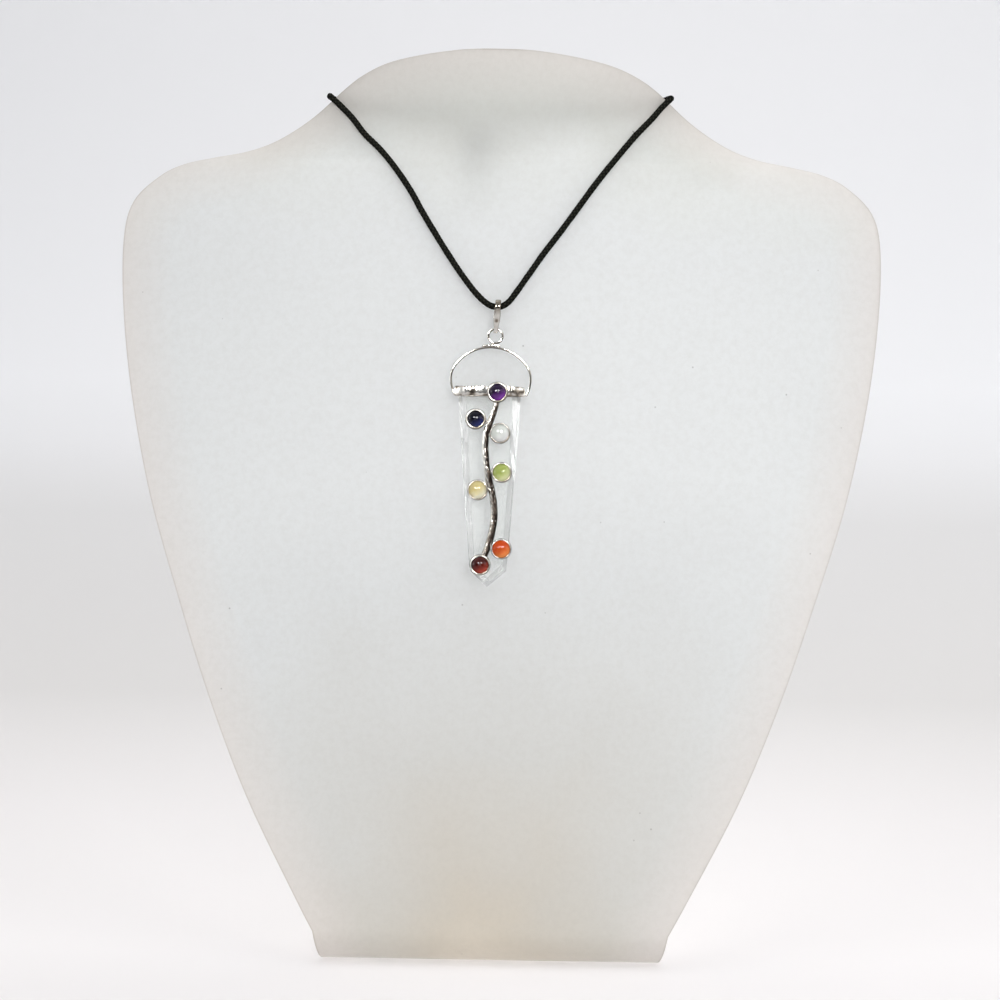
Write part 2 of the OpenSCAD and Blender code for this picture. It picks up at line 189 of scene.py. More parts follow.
def walk(line):
    """How far along a line of points each of them lies."""
    return np.r_[0, np.cumsum(np.linalg.norm(np.diff(line, axis=0), axis=1))]


def points_at(line, at):
    """The points that lie at these distances along a line."""
    return coords(*(np.interp(at, walk(line), part) for part in line.T))


def smooth_path(points, spacing):
    """A smooth curve through the points, walked at even steps of about this spacing. Gives the
    points and how far along each one lies."""
    p = np.asarray(points, float)
    curve = catmull_rom(np.vstack([2 * p[0] - p[1], p, 2 * p[-1] - p[-2]]), 40)
    length = walk(curve)[-1]
    at = np.linspace(0, length, round(length / spacing) + 1)
    return points_at(curve, at), at


# %% Circles and sweeps
def unit(v):
    """Each vector divided by its length."""
    return v / np.linalg.norm(v, axis=-1, keepdims=True)


def steps_round(count):
    """The angles of so many even steps round a circle."""
    return 2 * np.pi * np.arange(count) / count


def on_circle(turn):
    """The point of a unit circle at each angle."""
    return coords(np.cos(turn), np.sin(turn))


def square_to(path, towards):
    """Two directions square to a path: one that points as nearly as it can towards a place or
    places, and one square to both."""
    way = unit(np.gradient(path, axis=0))
    side = towards - path
    side = unit(side - (side * way).sum(-1, keepdims=True) * way)
    return side, np.cross(way, side)


def with_ends(rings):
    """Values along a tube, the first and the last said twice, for the rings that close it."""
    return np.concatenate([rings[:1], rings, rings[-1:]])


def closed_off(rings, first, last):
    """The rings of a tube with one more at each end, drawn in to a point."""
    ends = [np.broadcast_to(point, rings[:1].shape) for point in (first, last)]
    return np.concatenate([ends[0], rings, ends[1]])


def sweep(path, side, up, profile):
    """Profile points [side, up] drawn round each point of the path, as a closed tube."""
    rings = path[:, None] + profile[..., :1] * side[:, None] + profile[..., 1:] * up[:, None]
    return closed_off(rings, path[0], path[-1])


# %% [markdown]
# Uneven surfaces
#
# A hammer, a file and molten solder each leave low, soft unevenness. Value noise gives it:
# random heights on a grid of whole numbers, with a smooth step between them. The seed is
# fixed, so every run makes the same piece.

# %% Lumps
def lumps(u, v, seed):
    """Value noise from -1 to 1: seeded random heights at whole numbers of u and v, blended
    with the smooth step 3t^2 - 2t^3 between them. It repeats after 64."""
    table = np.random.default_rng(seed).uniform(-1, 1, (64, 64))
    i, j = np.floor(u).astype(int), np.floor(v).astype(int)
    s, t = u - i, v - j
    s, t = s * s * (3 - 2 * s), t * t * (3 - 2 * t)
    i, j, right, up = i % 64, j % 64, (i + 1) % 64, (j + 1) % 64
    low = table[i, j] * (1 - s) + table[right, j] * s
    high = table[i, up] * (1 - s) + table[right, up] * s
    return low * (1 - t) + high * t


# %% [markdown]
# Materials
#
# Each finish below is one Principled shader with a few nodes in front of it. The colours are
# sRGB codes, as a paint chart gives them, and are turned into the linear ones that light adds
# up in.

# %% Helpers for materials
def srgb(code):
    """An sRGB hex colour as the linear red, green, blue and alpha that Blender works in."""
    c = np.array([int(code[k:k + 2], 16) for k in (1, 3, 5)]) / 255
    return (*np.where(c <= 0.04045, c / 12.92, ((c + 0.055) / 1.055) ** 2.4).tolist(), 1.0)


def new_material(name, values):
    """A material with one Principled shader, whose sockets get these values. Gives the
    material, its tree and the sockets."""
    material = bpy.data.materials.new(name)
    material.use_nodes = True
    sockets = material.node_tree.nodes["Principled BSDF"].inputs
    for key, value in values.items():
        sockets[key].default_value = value
    print("material:", name)
    return material, material.node_tree, sockets


def add(tree, kind, inputs=(), gives=0, into=None, stops=(), **settings):
    """Adds a node with its own settings. Its inputs get a value, a hex colour or another
    node's output, and a ramp its stops of position and colour. The output that it gives is
    joined to a socket, where one is named, and handed back."""
    made = tree.nodes.new("ShaderNode" + kind)
    for key, value in settings.items():
        setattr(made, key, value)
    for key, value in dict(inputs).items():
        if isinstance(value, bpy.types.NodeSocket):
            tree.links.new(value, made.inputs[key])
        else:
            made.inputs[key].default_value = srgb(value) if isinstance(value, str) else value
    for k, (position, colour) in enumerate(stops):
        ramp = made.color_ramp.elements
        stop = ramp[k] if k < 2 else ramp.new(position)
        stop.position, stop.color = position, srgb(colour)
    if into is not None:
        tree.links.new(made.outputs[gives], into)
    return made.outputs[gives]


def lets_light_through(tree, share=1.0, clear=0.0):
    """Rays that carry light from lamps and from dull surfaces pass straight through the
    shader, or a share of them does, as through clear or frosted stuff, so that it casts no
    black shadow. The eye and every mirror see the shader, but for a share that is clear."""
    path = add(tree, "LightPath").node.outputs
    carries = add(tree, "Math", {0: path["Is Shadow Ray"], 1: path["Is Diffuse Ray"]},
                  operation="MAXIMUM")
    passed = add(tree, "MapRange", {"Value": carries, "To Min": clear, "To Max": share})
    stuff = tree.nodes["Principled BSDF"].outputs["BSDF"]
    add(tree, "MixShader", {0: passed, 1: stuff, 2: add(tree, "BsdfTransparent")},
        into=tree.nodes["Material Output"].inputs["Surface"])


# %% [markdown]
# The cord's route
#
# The cord is waxed cotton braid, 1.6 mm thick. It hangs in a V from two notches beside the
# neck, wraps round the sheet's edge, runs across the back and ends in a wrapped knot behind
# the neck, with two short ends below it. The points are those of the CAD solid, so that the
# braid lies exactly where the plain tube does.

# %% The cord's route
CORD_D = 1.6
ROUTE = np.array([
    [-7.55, 17.6, 196.2], [-7.55, 16.6, 201], [-7.55, 15.6, 206], [-7.55, 14.4, 214],
    [-8.6, 14.1, 216.6], [-12, 13.8, 218.6], [-18, 13.7, 219.8], [-26, 13.5, 220.7],
    [-34, 13.4, 221.6], [-39.6, 13.2, 222.5], [-43, 12.3, 223.2], [-45, 10.3, 223.9],
    [-44.9, 8, 223.7], [-42.5, 6.8, 221.4], [-39.3, 5.7, 218.1], [-35.7, 3.7, 213.5],
    [-31.9, 1.9, 209.7], [-28.1, 0.6, 205.2], [-23.9, 0, 199.3], [-20.3, -0.3, 193.1],
    [-16.2, -0.6, 186.5], [-11.6, -1, 179.5], [-8, -1.6, 174.6], [-5.9, -2.3, 172.1],
    [-4.2, -2.9, 170.5], [-2.6, -3.3, 169.5], [-1.05, -3.4, 169.2], [0.5, -3.3, 169.5],
    [2.1, -3, 170.7], [4, -2.4, 173.3], [6.5, -1.8, 177], [10.4, -1.1, 182.8],
    [15.2, -0.8, 189.3], [19.6, -0.4, 195.5], [24.1, 0, 201.9], [28.5, 0.9, 207.6],
    [32.9, 2.9, 213.2], [35.5, 4.2, 216.2], [38.1, 5.6, 219.1], [40.3, 6.4, 221.8],
    [42.6, 7.2, 224.3], [42.9, 9.3, 224.9], [41.7, 11.3, 224.8], [39, 12.9, 224],
    [34, 13.4, 223.2], [24, 13.6, 221.8], [12, 13.7, 220.4], [2, 13.8, 219],
    [-2.6, 13.9, 217.9], [-5, 14.1, 216.2], [-5.65, 14.4, 214], [-5.65, 15.6, 206],
    [-5.6, 16.4, 201.5], [-5.5, 17.1, 197]])
cord_path, cord_at = smooth_path(ROUTE, 0.16)
print("cord length", round(cord_at[-1], 1), "mm")

# %% [markdown]
# Waxed cotton braid
#
# A fine round braid is four strands each way that cross over and under each other on a slant.
# The wax darkens it to a black with a little green in it. The colour follows the braid's
# height, which is kept as an attribute of the mesh: a painted sheen lightens the top of each
# strand, and painted shade keeps the hollows blacker.

# %% Material: waxed cotton braid
cord_black, tree, sockets = new_material("waxed cotton braid", {
    "Roughness": 0.75, "Specular IOR Level": 0.06})
height = add(tree, "Attribute", gives="Fac", attribute_name="braid")
# Painted sheen on the tops of the strands and painted shade in the hollows
add(tree, "ValToRGB", {"Fac": height}, into=sockets["Base Color"],
    stops=[(0.2, "#010100"), (0.6, "#090905"), (0.95, "#2c2c23")])
place = add(tree, "TexCoord", gives="Object")
# Cotton fibres are about 0.02 mm; at 0.12 mm they still show as a fine grain
fibres = add(tree, "TexNoise", {"Vector": place, "Scale": 1 / (0.12 * MM), "Detail": 2})
add(tree, "Bump", {"Height": fibres, "Strength": 0.5, "Distance": 0.03 * MM},
    into=sockets["Normal"])


# %% Braided surface
CORD_ROUND = 32


def braid(along, turn, strands=4, pitch=1.15):
    """Height of a round braid, 0 to 1. Two sets of strands wind opposite ways, so each is a
    row of half waves in along + turn or along - turn, and the one on top changes like the
    squares of a chessboard."""
    a = along / pitch + strands * turn
    b = along / pitch - strands * turn
    over = (np.floor(a) + np.floor(b)) % 2
    fa, fb = np.sin(np.pi * (a % 1)), np.sin(np.pi * (b % 1))
    return np.where(over == 1, fa ** 0.7 * (0.55 + 0.45 * fb), fb ** 0.7 * (0.55 + 0.45 * fa))


def braided(name, path, at, towards, diameter, frame_of, node):
    """A tube along a path, whose radius rises and falls with the braid, and with slow lumps
    2.2 mm long where the hand pulled the braid unevenly."""
    turn, along = np.arange(CORD_ROUND) / CORD_ROUND, at[:, None]
    raised = braid(along, turn)
    pulled = lumps(along / 2.2, 3 + 2 * np.abs(2 * turn - 1), 9)
    radius = diameter / 2 * (0.9 + 0.13 * raised + 0.035 * pulled)
    side, up = square_to(path, towards)
    points = sweep(path, side, up, radius[..., None] * on_circle(2 * np.pi * turn))
    return make_piece(name, frame_of(points), cord_black, "stand", node,
                      {"braid": with_ends(raised)})


# The middle of the loop, towards which the braid's first strand faces
LOOP_MIDDLE = np.array([0, 5, 205])
cord = braided("braided_cord", cord_path, cord_at, LOOP_MIDDLE, CORD_D, on_face, "cord")

# %% [markdown]
# A frayed spot
#
# On the right strand a few fibres of one yarn have worn through and stand up as a small tuft.
# Each is a thin curl that starts inside the braid and bends over.

# %% The frayed fibres
FRAYED_AT, FRAYED_WAY = np.array([33.9, 3.3, 214.35]), np.array([-0.72, -0.35, 0.6])
FIBRES, FIBRE_STEPS, FIBRE_ROUND, FIBRE_D = 7, 9, 6, 0.3
slim = FIBRE_D / 2 * on_circle(steps_round(FIBRE_ROUND))
step = np.linspace(0, 1, FIBRE_STEPS)[:, None]
tuft = []
chance = np.random.default_rng(5)
for k in range(FIBRES):
    away = unit(FRAYED_WAY + chance.uniform(-0.45, 0.45, 3))
    bend = chance.uniform(-0.5, 0.5, 3)
    root = FRAYED_AT + chance.uniform(-0.25, 0.25, 3)
    curl = root + step * away * chance.uniform(0.75, 1.05) + step ** 2 * bend
    side, up = square_to(curl, curl + [0, 100, 0])
    # A fibre thins to four tenths at its tip
    tuft.append(sweep(curl, side, up, slim * (1 - 0.6 * step[:, None])))
tuft = on_face(np.stack(tuft))
fibres = make_piece("frayed_fibres", tuft, cord_black, "stand", "cord",
                    {"braid": np.full(tuft.shape[:-1], 0.3)})

# %% [markdown]
# The wrapped knot
#
# Behind the neck the two strands are held by a knot of four turns of the same cord, wound
# tightly round both. The path is a stadium, which is the outline round two strands that lie
# side by side, and it climbs by one cord's thickness each turn. Each end dives in towards the
# strands, where the real knot tucks it under.

# %% The knot
KNOT, KNOT_TILT = np.array([-6.6, 15, 210]), np.radians(8.5)
WRAP_R, WRAP_D, WRAP_PITCH, WRAPS, STRAND = 1.65, 1.5, 1.7, 4, 0.95
# How much of a turn an end takes to dive, and how far in it goes
DIVE_TURN, DIVE = 0.15, 0.35


def stadium(turns, radius):
    """Points round two half circles joined by two straight lines, walked at an even pace, and
    the length of one round."""
    half = radius * on_circle(np.linspace(-np.pi / 2, np.pi / 2, 40)) + [STRAND, 0]
    outline = np.vstack([half, -half, half[:1]])
    length = walk(outline)[-1]
    return points_at(outline, (turns % 1) * length), length


def on_knot(points):
    """Knot's own frame to model frame: tilted with the strands, then moved behind the neck."""
    x, y, z = np.moveaxis(np.asarray(points, float), -1, 0)
    cos, sin = np.cos(KNOT_TILT), np.sin(KNOT_TILT)
    return on_face(KNOT + coords(x, y * cos - z * sin, y * sin + z * cos))


turns = np.linspace(0, WRAPS, 420)
wrap, wrap_length = stadium(turns, WRAP_R)
dive = 1 - DIVE * np.clip(1 - np.minimum(turns, WRAPS - turns) / DIVE_TURN, 0, 1)
climb = (np.clip(turns - 0.5, 0, WRAPS - 1) - (WRAPS - 1) / 2) * WRAP_PITCH
knot_path = np.concatenate([wrap * dive[:, None], climb[:, None]], 1)
knot = braided("wrapped_knot", knot_path, turns * wrap_length, knot_path * [0, 0, 1], WRAP_D,
               on_knot, "cord_knot")

# %% [markdown]
# Frosted acrylic
#
# The bust is clear cast acrylic with both faces sandblasted. Light scatters at the rough faces
# and comes out soft, so the sheet glows a little, and whatever lies behind it shows as a blur.
# A rough surface with a share of transmission at acrylic's index, 1.49, gives both. Light and
# shade are painted into the sheet's colour: painted shade makes it greyer at the neck, painted
# light makes it brightest over the chest, and a warm painted glow lies above the foot, where the
# bend sends the light a long way through it. Along the cut edge, where the light that was caught
# in the sheet leaves it, run a faint pink band of painted light and a thin darker line of painted
# shade. The cord and the knot behind the neck leave a soft painted shade. Rubbed blotches and
# specks of dust lie over all of it.

# %% Material: frosted acrylic
frosted, tree, sockets = new_material("frosted cast acrylic", {
    "Roughness": 0.6, "IOR": 1.49, "Transmission Weight": 0.45, "Specular IOR Level": 0.2})
place = add(tree, "TexCoord", gives="Object")
# Cloudy patches of a few centimetres make the painted light and shade of the ramp below waver
cloud = add(tree, "TexNoise", {"Vector": place, "Scale": 1 / (35 * MM), "Detail": 4})
height = add(tree, "SeparateXYZ", {"Vector": place}, gives="Z")
height = add(tree, "MapRange", {"Value": height, "From Max": 235 * MM})
inset = add(tree, "Attribute", gives="Fac", attribute_name="inset")
# The warm painted glow over the foot is an arch, lower at its sides
lift = add(tree, "MapRange", {"Value": inset, "From Max": 40, "To Min": 0.16, "To Max": 0.0})
below = add(tree, "Math", {0: 1.0, 1: height}, operation="SUBTRACT")
height = add(tree, "Math", {0: lift, 1: below, 2: height}, operation="MULTIPLY_ADD")
height = add(tree, "Math", {0: cloud, 1: 0.16, 2: height}, operation="MULTIPLY_ADD")
# Painted light and shade up the sheet: warm and lifted over the foot and the bend, brightest over
# the chest and greyer at the neck
tone = add(tree, "ValToRGB", {"Fac": height}, stops=[
    (0.08, "#e2dacd"), (0.13, "#d6cfc3"), (0.19, "#d5d1c9"), (0.3, "#d8d8d5"),
    (0.5, "#e1e3e3"), (0.62, "#e7e9e9"), (0.87, "#e5e7e7"), (0.94, "#e3e5e3"),
    (1.0, "#d6d7d2")])
# The edge's band of painted light is 14 mm wide and fades inwards, with a thin line of
# painted shade at the edge itself
rim = add(tree, "MapRange", {"Value": inset, "From Max": 14})
painted_edge_light_and_shade = add(tree, "ValToRGB", {"Fac": rim}, stops=[(0.01, "#c4b9b0"), (0.035, "#e6dfda")])
rim = add(tree, "MapRange", {"Value": rim, "To Min": 0.6, "To Max": 0.0})
# Painted shade where the cord and the knot lie behind the sheet
behind = add(tree, "Attribute", gives="Fac", attribute_name="behind")
# Handling has rubbed the blasted face unevenly, in faint blotches of a millimetre or two
rubbed = add(tree, "TexNoise", {"Vector": place, "Scale": 1 / (1.6 * MM), "Detail": 5,
                                "Roughness": 0.7})
rubbed = add(tree, "MapRange", {"Value": rubbed, "From Min": 0.4, "From Max": 0.75,
                                "To Max": 0.16})
# Specks of dust, up to 0.3 mm: a cell's middle lies in the sheet's face now and then
dust = add(tree, "TexVoronoi", {"Vector": place, "Scale": 1 / (9 * MM)})
dust = add(tree, "MapRange", {"Value": dust, "From Min": 0.015, "From Max": 0.035,
                              "To Min": 0.5, "To Max": 0.0})
for share, over in ((rim, painted_edge_light_and_shade), (behind, "#9b9c98"), (rubbed, "#b3aea4"), (dust, "#5d574e")):
    tone = add(tree, "Mix", {0: share, 6: tone, 7: over}, gives=2, data_type="RGBA")
tree.links.new(tone, sockets["Base Color"])
# Blasting grit leaves pits of about 0.1 mm; at 0.4 mm they show as a faint grain
grit = add(tree, "TexNoise", {"Vector": place, "Scale": 1 / (0.4 * MM), "Detail": 3})
add(tree, "Bump", {"Height": grit, "Strength": 0.3, "Distance": 0.02 * MM},
    into=sockets["Normal"])
lets_light_through(tree, share=0.65)

# %% [markdown]
# The bust
#
# The bust is one flat sheet, cut to the outline of neck and shoulders, bowed a little from
# side to side, and bent back sharply for a foot. The rows of the table are the CAD model's.
# The grid has a row for each height and a column for each share of the half width, on the
# front face and again on the back one. A fine bevel rounds the cut edge between them.

# %% The bust's outline
SHEET = 2.2
BEND_R, FOOT_HALF, FOOT_REACH, CORNER_R = 8, 42.6, 68, 8
BEND_S = BEND_R * (1 + np.sin(LEAN)) / np.cos(LEAN)
# Height, half width, set back, bow in thousandths, shift to the side
BUST = np.array([
    [BEND_S, 45.4, 0, 0, 0], [18.2, 50.1, 0, 0.15, 0], [43.5, 63.1, 0, 0.55, 0],
    [68.8, 73.5, 0, 0.9, 0], [94.4, 82.3, 0, 1.15, 0], [120.2, 90.3, 0, 1.3, 0],
    [146.3, 95.9, 0, 1.45, 0], [169, 98.8, 0, 1.6, 0], [187, 99.1, 0, 1.65, 0],
    [196.8, 96.7, 0, 1.75, 0], [203.4, 89.9, 0, 1.95, 0], [206.6, 83.3, 0, 2.2, -0.1],
    [208.4, 75.2, 0, 2.6, -0.2], [210, 66.2, -0.1, 3.1, -0.3], [213, 58.2, -0.3, 3.9, -0.4],
    [218.8, 49, -0.8, 5.1, -0.5], [225.8, 40.3, -1.8, 5.5, -0.6], [229.1, 35, -2.3, 5.5, -0.8],
    [231.6, 28.6, -2.65, 5.5, -1.1], [233.2, 20.4, -2.9, 5.5, -1.3],
    [234.4, 10.4, -3.1, 5.5, -1.4], [234.7, 4, -3.2, 5.5, -1.4]])


def sheet_rows():
    """Every row of the sheet as [half width, shift, bow, front y, front z, way y, way z]: the
    foot's corners, the bend and the chest, from the foot's back edge to the top of the neck.
    The way is the direction through the sheet, from its front face to its back one."""
    turn = np.radians(np.linspace(90, 0, 13))
    foot = coords(FOOT_HALF - CORNER_R * (1 - np.cos(turn)), 0, 0,
                  FACE_Y + FOOT_REACH - CORNER_R * (1 - np.sin(turn)), 0, 0, 1)
    share = np.linspace(1, 0, 15)[:-1]
    turn = share * (np.pi / 2 + LEAN) - LEAN
    bend = coords(FOOT_HALF + (BUST[0, 1] - FOOT_HALF) * (1 - share), 0, 0,
                  FACE_Y + BEND_S - BEND_R * np.cos(turn), BEND_R - BEND_R * np.sin(turn),
                  np.cos(turn), np.sin(turn))
    s, half, back, bow, shift = catmull_rom(np.vstack([BUST[0], BUST, BUST[-1]]), 6).T
    cos, sin = np.cos(LEAN), np.sin(LEAN)
    chest = coords(half, shift, bow / 1000, FACE_Y + back * cos + s * sin,
                   s * cos - back * sin, cos, -sin)
    return np.vstack([foot, bend, chest])


def sheet_points(rows, share, depth):
    """Points of the sheet at a share of each row's half width and a depth below the front
    face. The face bows back by bow times the square of the distance across, and the depth is
    measured square to it."""
    half, shift, bow, y, z, way_y, way_z = (rows[:, k, None] for k in range(7))
    x = half * share
    tilt = 2 * bow * x
    deep = depth / np.sqrt(1 + tilt ** 2)
    away = bow * x ** 2 + deep
    return coords(shift + x - deep * tilt, y + away * way_y, z + away * way_z)


# %% Marks on the sheet
rows = sheet_rows()
share = np.sin(np.linspace(-np.pi / 2, np.pi / 2, 57))
front = sheet_points(rows, share, 0)
back = sheet_points(rows, share[::-1], SHEET)
# How far each point lies from the cut edge, in millimetres
edge_line = np.vstack([front[:, 0], front[:, -1], front[-1]])
inset = np.linalg.norm(front[:, :, None] - edge_line, axis=-1).min(-1)
# How near the hidden cord and the knot lie behind it, seen from the front. Each leaves a
# painted shade that fades over 6 mm, and the knot's is taller than wide
SHADE, FADE, KNOT_SEEN, TALL = 0.13, 6, [-6.2, 14, 213], [1, 1.6]
hidden = on_face(cord_path[(cord_path[:, 1] > 10) & (cord_path[:, 2] > 216)]) / MM
cord_off = np.linalg.norm((front[:, :, None] - hidden[::12])[..., [0, 2]], axis=-1).min(-1)
knot_off = np.linalg.norm((front - on_face(KNOT_SEEN) / MM)[..., [0, 2]] / TALL, axis=-1)
behind = SHADE * (np.exp(-(cord_off / FADE) ** 2) + np.exp(-(knot_off / FADE) ** 2))
print("inset up to", round(inset.max()), "mm, shade up to", round(behind.max(), 2))

# %% The bust
ARRIS = 0.25
shell = np.concatenate([front, back], 1)
columns = shell.shape[1]
faces = grid_faces(shell.shape[:2])
# The first and the last row close the sheet between its two faces
ends = np.array([[j, j + 1, columns - 2 - j, columns - 1 - j] for j in range(len(share) - 1)])
faces = np.vstack([faces, ends, ends[:, ::-1] + (len(rows) - 1) * columns])
marks = {key: np.hstack([values, values[:, ::-1]])
         for key, values in (("inset", inset), ("behind", behind))}
bust = make_piece("frosted_bust", MM * shell, frosted, "stand", "bust_stand",
                  marks, faces=faces)
round_edge = bust.modifiers.new("rounded cut edge", "BEVEL")
round_edge.width, round_edge.segments, round_edge.angle_limit = ARRIS * MM, 3, np.radians(50)

# %% [markdown]
# Silver
#
# The metal is sterling silver: nearly white, with a slight warmth. Fine wire is polished by
# hand, which leaves a soft haze on the mirror and a few shallow ripples that bend the
# reflections. The collar was only brushed after hammering, so it has a satin shine, and the
# bezels were rubbed over with a burnisher and a fine abrasive, which dulls them a little more.
# Where the wheel can't reach, in a fold, a brown film of tarnish stays. The same dark film is
# also painted on as shade: on the lower right of each wire and cup and along the bail's right
# edge, away from the light, and on each cup's wall and the flanks of its rim, which outlines it.

# %% Material: sterling silver
def silver_finish(name, least, most):
    """Sterling silver darkened by the attribute, which holds tarnish and painted shade, and
    with a haze between two roughnesses."""
    made, tree, sockets = new_material(name, {"Metallic": 1.0})
    tarnish_and_shade = add(tree, "Attribute", gives="Fac", attribute_name="tarnish_and_shade")
    add(tree, "ValToRGB", {"Fac": tarnish_and_shade}, into=sockets["Base Color"],
        stops=[(0.0, "#efece6"), (0.5, "#a39a8e"), (1.0, "#4a3f37")])
    place = add(tree, "TexCoord", gives="Object")
    # The wheel's haze comes in patches of about a millimetre, its ripples are half as wide
    haze = add(tree, "TexNoise", {"Vector": place, "Scale": 1 / (0.9 * MM), "Detail": 3})
    add(tree, "MapRange", {"Value": haze, "To Min": least, "To Max": most},
        into=sockets["Roughness"])
    ripple = add(tree, "TexNoise", {"Vector": place, "Scale": 1 / (0.5 * MM), "Detail": 1})
    add(tree, "Bump", {"Height": ripple, "Strength": 0.05, "Distance": 0.05 * MM},
        into=sockets["Normal"])
    return made


silver = silver_finish("hand-polished sterling silver", 0.06, 0.16)
satin = silver_finish("hammered satin silver", 0.1, 0.26)
brushed = silver_finish("brushed bezel silver", 0.2, 0.32)


def silver_piece(name, points, marks=None, material=silver, ring=False):
    """A piece of the soldered mount, from points in the pendant's frame."""
    make_piece(name, on_pendant(points), material, "pendant", "silver_mount", marks,
               ring)


# %% [markdown]
# Wire: the ring, the handle and the bar
#
# The pendant hangs from a ring of round wire, 0.6 mm thick, soldered to a short bar on top of
# a curved handle of the same wire. A wire is a circle swept along its path. The handle's path
# is made of arcs that meet in line, and its ends are hammered a little flat where they are
# soldered to the collar.

# %% The ring
WIRE_R, RING_R = 0.3, 1.8
RING_STEPS, WIRE_ROUND = 96, 20
small = on_circle(steps_round(WIRE_ROUND))


def painted_side_shade(normals):
    """Painted shade, 0 to 1, from the outward directions [across, back, up] of a surface: most at
    its lower right, away from the light, and a thin painted dark line at its upper left."""
    low = normals @ unit(np.array([0.62, 0, -0.78]))
    return np.clip(1.6 * low + 0.1, 0, 1) + np.clip(-4 * low - 3.3, 0, 0.6)


def torus(big, little):
    """A circle of radius little carried round one of radius big in the pendant's plane."""
    turn = steps_round(RING_STEPS)[:, None]
    r = big + little * small[:, 0]
    return coords(r * np.cos(turn), little * small[:, 1], r * np.sin(turn))


silver_piece("hanging_ring", torus(RING_R, WIRE_R), {"tarnish_and_shade": painted_side_shade(torus(0, 1))},
             ring=True)


# %% The handle and the bar
def wire_piece(name, path, profile, film_and_shade=1.0):
    """A wire whose profile is drawn along the path, with so much of the painted shade."""
    side, up = square_to(path, path + [0, 1000, 0])
    out = small[:, :1] * side[:, None] + small[:, 1:] * up[:, None]
    silver_piece(name, sweep(path, side, up, profile),
                 {"tarnish_and_shade": film_and_shade * painted_side_shade(with_ends(out))})


def arc(x, z, r, start, end):
    """Points along an arc in the plane of the pendant, 2 degrees apart, angles in degrees."""
    turn = np.radians(np.linspace(start, end, max(3, int(abs(end - start) / 2))))
    return coords(x + r * np.cos(turn), 0, z + r * np.sin(turn))


# Half the handle is an arc at the collar, one at the side and one over the crown
HANDLE_HALF, SIDE_R, LOW_R, HANDLE_SHIFT = 10.1, 6, 8.5, -1
WIDE_Z, TOP_Z, END_Z = -10.85, -2.85, -15.1
side_x, rise = HANDLE_HALF - SIDE_R, TOP_Z - WIDE_Z
crown_r = (side_x ** 2 + rise ** 2 - SIDE_R ** 2) / (2 * (rise - SIDE_R))
crown_z = TOP_Z - crown_r
meet = np.degrees(np.arctan2(WIDE_Z - crown_z, side_x))
low = np.degrees(np.arcsin((WIDE_Z - END_Z) / LOW_R))
half = np.vstack([arc(HANDLE_HALF - LOW_R, WIDE_Z, LOW_R, -low, 0),
                  arc(side_x, WIDE_Z, SIDE_R, 0, meet)[1:],
                  arc(0, crown_z, crown_r, meet, 90)[1:]])
handle = np.vstack([half, half[-2::-1] * [-1, 1, 1]]) + [HANDLE_SHIFT, 0, 0]
along = np.linspace(0, 1, len(handle))[:, None]
flat = 1 + 0.35 * np.exp(-(np.minimum(along, 1 - along) / 0.03) ** 2)
thick = WIRE_R * (1 + 0.05 * lumps(along * 40, small[:, 0] * 2 + 5, 3))
wire_piece("handle_wire", handle, coords(thick * flat * small[:, 0], thick * small[:, 1]))

# The bar sags by a hair, swells in two places where the solder ran, and rounds off at its ends
bar_x = np.linspace(-3.35, 1.35, 60)
bar = coords(bar_x, 0, -2.42 - 0.02 * (bar_x + 1) ** 2)
swell = sum(0.3 * np.exp(-((bar_x - at) / wide) ** 2) for at, wide in ((-2.9, 0.45), (-0.6, 1.1)))
blob = WIRE_R * (0.95 + swell) * (1 - ((bar_x + 1) / 2.36) ** 8) ** 0.5
melted = blob[:, None] * (1 + 0.12 * lumps(bar_x[:, None] * 2.2, small[:, 0] * 1.5 + 9, 4))
wire_piece("soldered_bar", bar, melted[..., None] * small, film_and_shade=0.8)

# %% [markdown]
# The hammered collar
#
# A strip of silver is wrapped round the top of the quartz and soldered to the handle. It was
# hammered while it was thin, so each blow left a shallow dish with a ridge between it and the
# next. The dishes are the distance to the nearest of a scatter of centres, squared, and the
# strip's two edges waver a little.

# %% The collar's line
COLLAR_H, COLLAR_T, COLLAR_Z, COLLAR_X = 2.4, 0.5, -14.1, -1.2
STRIP_STEPS, STRIP_ROUND, BLOWS, CUT = 420, 48, 110, 0.45
corners = np.array([[8.75, -0.62], [8.75, 0.62], [6.07, 2.85], [-6.07, 2.85], [-8.75, 0.62],
                    [-8.75, -0.62], [-6.07, -2.85], [6.07, -2.85]])


def rounded_section(count, power):
    """A rounded rectangle within -1 to 1, as its two coordinates: those of a circle raised to
    a power below 1, with their sign kept, which pushes the corners out."""
    points = on_circle(steps_round(count))
    return (np.sign(points) * np.abs(points) ** power).T


# Each corner is cut by a short curve, as a strip bends
t = np.linspace(0, 1, 7)[:, None]
before, after = ((corners + CUT * unit(np.roll(corners, step, 0) - corners))[:, None]
                 for step in (1, -1))
loop = (1 - t) ** 2 * before + 2 * t * (1 - t) * corners[:, None] + t ** 2 * after
loop = loop.reshape(-1, 2)
loop = np.vstack([loop, loop[:1]])
length = walk(loop)[-1]
at = np.linspace(0, length, STRIP_STEPS, endpoint=False)
loop = points_at(loop, at)
way = unit(np.roll(loop, -1, 0) - np.roll(loop, 1, 0))
outward = coords(way[:, 1], -way[:, 0])
print("collar", round(length, 1), "mm round")

# %% The hammered strip
thick, high = rounded_section(STRIP_ROUND, 0.35)
blows = np.random.default_rng(11).uniform(0, 1, (BLOWS, 2)) * [length, COLLAR_H + 0.6] \
    - [0, COLLAR_H / 2 + 0.3]
gone = np.abs(at[:, None] - blows[:, 0])
gone = np.minimum(gone, length - gone)
climb = high[:, None] * COLLAR_H / 2 - blows[:, 1]
dish = 1 - np.clip(np.min(gone[:, None] ** 2 + climb ** 2, -1) / 0.5, 0, 1)
